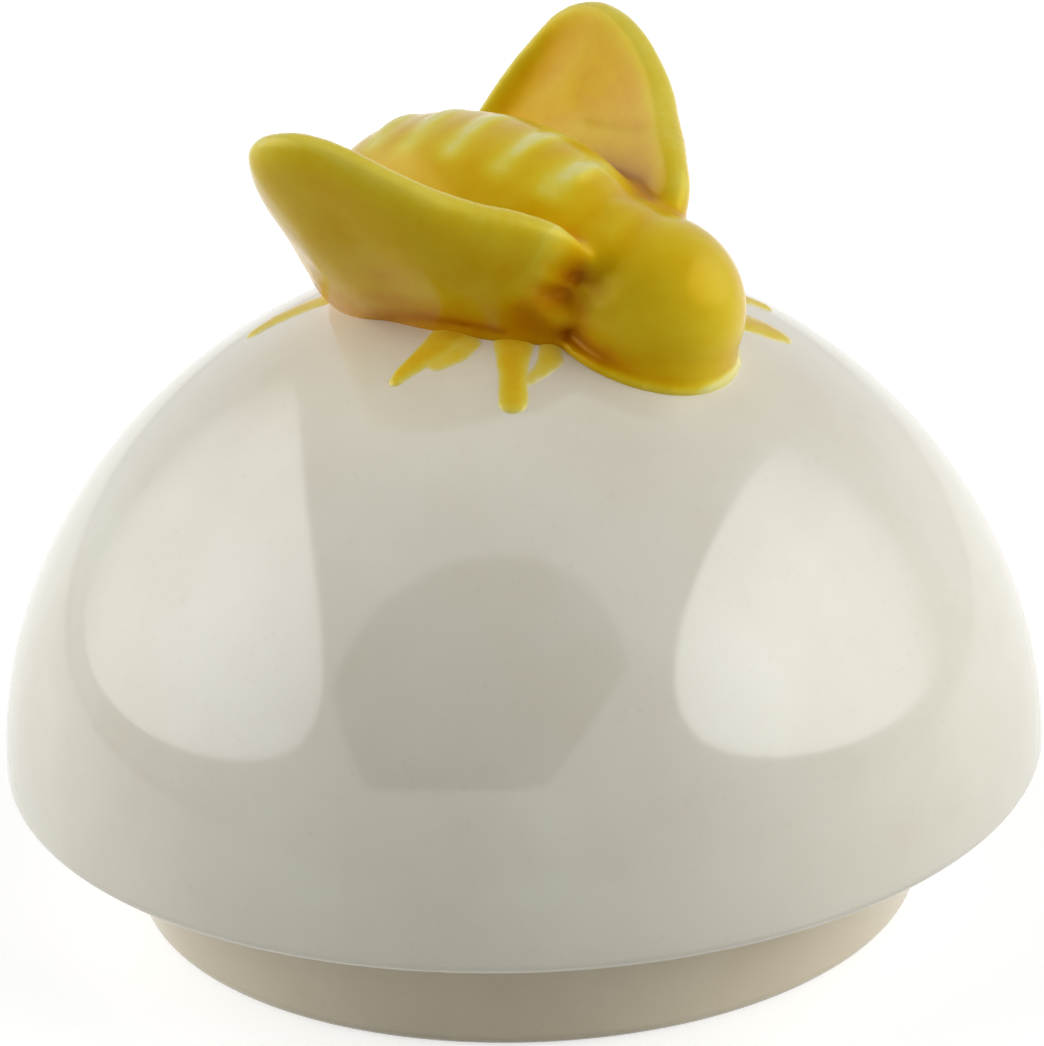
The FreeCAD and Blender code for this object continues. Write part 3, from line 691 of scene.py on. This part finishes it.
# %% Table
TABLE_REACH = 3.0
TABLE_COLOUR, WHITE = "#c6c6c4", "#ffffff"
LIFT = 0.65
table = bmesh.new()
bmesh.ops.create_grid(table, x_segments=1, y_segments=1, size=TABLE_REACH)
table_mesh = bpy.data.meshes.new("table")
table.to_mesh(table_mesh)
table.free()
floor = bpy.data.objects.new("table", table_mesh)
bpy.context.collection.objects.link(floor)
paper, tree, out = new_material("white paper table")
path = add(tree, "ShaderNodeLightPath")
seen = add(tree, "ShaderNodeMath", {"operation": "MAXIMUM"},
           {0: path.outputs["Is Camera Ray"], 1: path.outputs["Is Glossy Ray"]})
shown = add(tree, "ShaderNodeMath", {"operation": "MAXIMUM"},
            {0: seen.outputs["Value"], 1: path.outputs["Is Transmission Ray"]})
lift = add(tree, "ShaderNodeMath", {"operation": "MULTIPLY", 1: LIFT}, {0: shown.outputs["Value"]})
shader = add(tree, "ShaderNodeBsdfPrincipled",
             {"Base Color": linear(TABLE_COLOUR), "Roughness": 0.9, "Emission Color": linear(WHITE)},
             {"Emission Strength": lift.outputs["Value"]})
tree.links.new(shader.outputs["BSDF"], out.inputs["Surface"])
table_mesh.materials.append(paper)
print("table reaches", TABLE_REACH, "m to each side")

# %% World
FILL = 0.06
world = bpy.data.worlds.new("studio")
bpy.context.scene.world = world
world.use_nodes = True
tree = world.node_tree
tree.nodes.clear()
path = add(tree, "ShaderNodeLightPath")
seen = add(tree, "ShaderNodeMath", {"operation": "MAXIMUM"},
           {0: path.outputs["Is Camera Ray"], 1: path.outputs["Is Glossy Ray"]})
shown = add(tree, "ShaderNodeMath", {"operation": "MAXIMUM"},
            {0: seen.outputs["Value"], 1: path.outputs["Is Transmission Ray"]})
level = add(tree, "ShaderNodeMapRange", {"To Min": FILL, "To Max": 1.0}, {"Value": shown.outputs["Value"]})
sky = add(tree, "ShaderNodeBackground", {"Color": linear(WHITE)}, {"Strength": level.outputs["Result"]})
add(tree, "ShaderNodeOutputWorld", None, {"Surface": sky.outputs["Background"]})
print("the sky lights the lid at", FILL, "and looks white")

# %% Camera
CAMERA_TURN, CAMERA_HEIGHT, CAMERA_ROLL = (math.radians(angle) for angle in (-50.0, 22.9, -2.0))
CAMERA_AWAY, AIM_RIGHT, AIM_HEIGHT = 600, 0.45, 33.1
SENSOR, LENS = 36.0, 240.6
to_right = Vector((math.cos(CAMERA_TURN), math.sin(CAMERA_TURN), 0))
to_back = Vector((-math.sin(CAMERA_TURN), math.cos(CAMERA_TURN), 0))
aim = (to_right * AIM_RIGHT + Vector((0, 0, AIM_HEIGHT))) * MM
towards = to_back * -math.cos(CAMERA_HEIGHT) + Vector((0, 0, math.sin(CAMERA_HEIGHT)))
upwards = towards.cross(to_right)
image_right = to_right * math.cos(CAMERA_ROLL) + upwards * math.sin(CAMERA_ROLL)
image_up = upwards * math.cos(CAMERA_ROLL) - to_right * math.sin(CAMERA_ROLL)
camera_data = bpy.data.cameras.new("camera")
camera_data.sensor_fit = "HORIZONTAL"
camera_data.sensor_width = SENSOR
camera_data.lens = LENS
camera = bpy.data.objects.new("camera", camera_data)
bpy.context.collection.objects.link(camera)
place = Matrix((image_right, image_up, towards)).transposed().to_4x4()
place.translation = aim + towards * CAMERA_AWAY * MM
camera.matrix_world = place
bpy.context.scene.camera = camera
print("camera at", [round(v, 4) for v in camera.matrix_world.translation])


# %% Soft lights
LID_MIDDLE = Vector((0, 0, 0.045))
LEFT_LEVEL, RIGHT_LEVEL = 1.14, 1.38
LIGHT_SPREAD = 104


def soft_light(name, middle, shift, size, level):
    """An oval soft box, in metres: it faces the lid from a place (right, back, up) and is then shifted."""
    data = bpy.data.lights.new(name, "AREA")
    data.shape = "ELLIPSE"
    data.size, data.size_y = size
    data.energy = level * math.pi * size[0] * size[1] * math.pi / 4
    data.spread = math.radians(LIGHT_SPREAD)
    lamp = bpy.data.objects.new(name, data)
    bpy.context.collection.objects.link(lamp)
    place = Matrix.Rotation(CAMERA_TURN, 3, "Z") @ Vector(middle)
    turned = (LID_MIDDLE - place).to_track_quat("-Z", "Y")
    lamp.location = place + turned @ Vector((shift[0], shift[1], 0))
    lamp.rotation_euler = turned.to_euler()
    print(name, "gives", round(data.energy, 2), "W")


soft_light("soft_box_left", (-0.50, -0.02, 0.40), (-0.38, -0.10), (1.58, 0.60), LEFT_LEVEL)
soft_light("soft_box_right", (0.50, -0.22, 0.39), (0.52, -0.05), (1.64, 0.64), RIGHT_LEVEL)

# %% Dark opening round the camera
# In metres, and placed to the right, to the back and upwards as the camera sees them.
OPENING_CORNERS, OPENING_RADIUS, OPENING_STRETCH = 8, 0.64, (0.92, 1.23, 1)
OPENING_PLACE = (-0.187, -0.60, 0.95)
opening = bmesh.new()
bmesh.ops.create_circle(opening, cap_ends=True, segments=OPENING_CORNERS, radius=OPENING_RADIUS)
half_corner = Matrix.Rotation(math.pi / OPENING_CORNERS, 3, "Z")
bmesh.ops.rotate(opening, cent=(0, 0, 0), matrix=half_corner, verts=opening.verts)
bmesh.ops.scale(opening, vec=OPENING_STRETCH, verts=opening.verts)
bmesh.ops.rotate(opening, cent=(0, 0, 0), matrix=Matrix.Rotation(math.pi / 2, 3, "X"), verts=opening.verts)
bmesh.ops.translate(opening, vec=OPENING_PLACE, verts=opening.verts)
bmesh.ops.rotate(opening, cent=(0, 0, 0), matrix=Matrix.Rotation(CAMERA_TURN, 3, "Z"), verts=opening.verts)
opening_mesh = bpy.data.meshes.new("dark_opening")
opening.to_mesh(opening_mesh)
opening.free()
dark = bpy.data.objects.new("dark_opening", opening_mesh)
bpy.context.collection.objects.link(dark)
dark.visible_camera = False
dark.visible_diffuse = False
dark.visible_shadow = False
felt, tree, out = new_material("black felt")
shader = add(tree, "ShaderNodeBsdfPrincipled", {"Base Color": linear("#2a2826"), "Roughness": 0.95})
tree.links.new(shader.outputs["BSDF"], out.inputs["Surface"])
opening_mesh.materials.append(felt)
print("dark opening with", len(opening_mesh.vertices), "corners")

# %% View transform
bpy.context.scene.view_settings.view_transform = "Standard"
print("colours are shown by the", bpy.context.scene.view_settings.view_transform, "transform")
